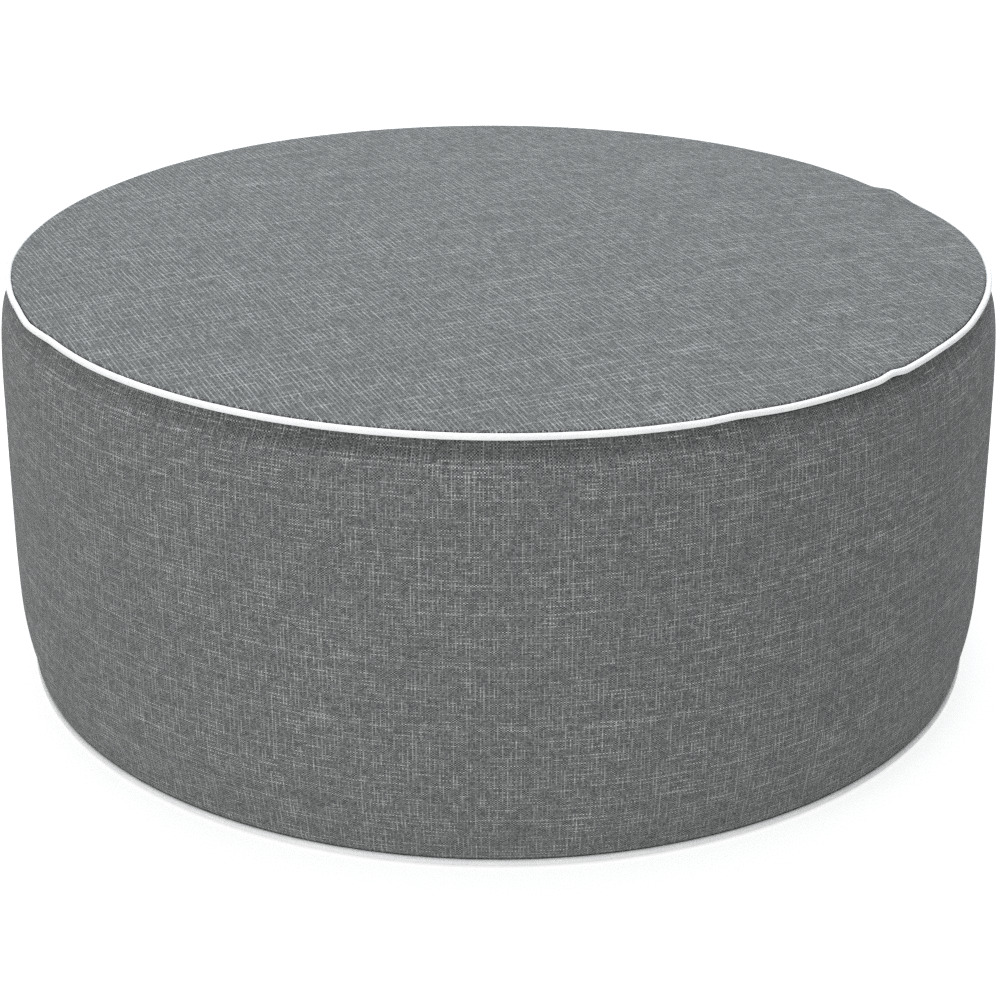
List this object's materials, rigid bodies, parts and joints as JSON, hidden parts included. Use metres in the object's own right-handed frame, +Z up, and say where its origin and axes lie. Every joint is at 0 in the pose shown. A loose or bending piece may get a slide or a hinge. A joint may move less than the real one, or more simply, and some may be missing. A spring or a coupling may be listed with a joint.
{
  "type": "inflatable ottoman",
  "caption": "Low round inflatable ottoman in a woven cover, with a crowned top, full drawn-in sides and piping in the top and bottom seams, used as a footrest or floor seat.",
  "frame": {"origin": "middle of the flat underside, on the floor", "axes": "+Z up along the ottoman's axis, -Y towards the viewer of the picture, +X to the viewer's right"},
  "size_m": [0.533, 0.533, 0.229],
  "materials": {
    "cover_cloth": "matt mid-grey plain weave with paler slub threads both ways",
    "piping_cloth": "matt white cloth-covered cord"
  },
  "bodies": {
    "root": {"top_panel": "cover_cloth", "side_band": "cover_cloth", "bottom_panel": "cover_cloth", "top_piping": "piping_cloth", "bottom_piping": "piping_cloth"}
  },
  "joints": []
}
